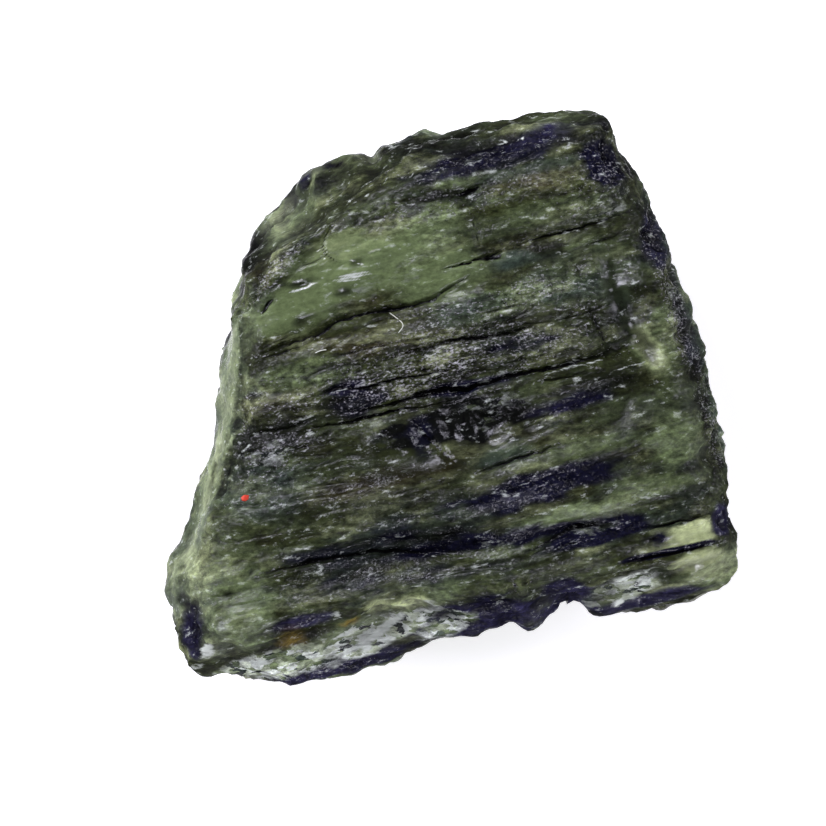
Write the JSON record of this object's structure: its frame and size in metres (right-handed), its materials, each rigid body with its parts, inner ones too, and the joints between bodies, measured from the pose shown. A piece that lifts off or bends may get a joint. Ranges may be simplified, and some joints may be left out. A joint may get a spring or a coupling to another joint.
{
  "type": "raw moldavite",
  "caption": "Rough four-cornered lump of dark bottle-green natural glass, with a broad furrowed face, layered flanks and a flat spot it rests on.",
  "frame": {"origin": "middle of the lump's bounding box in plan, on the surface it rests on", "axes": "+X along the flow bands and furrows of the glass, the longest extent; +Y across them up the broad face; +Z out of the broad face, up from the surface"},
  "size_m": [0.026, 0.023, 0.0116],
  "materials": {
    "moldavite_glass": "dark bottle-green glass, etched dull with glossy furrows and pits"
  },
  "bodies": {
    "root": {"moldavite": "moldavite_glass"}
  },
  "joints": []
}
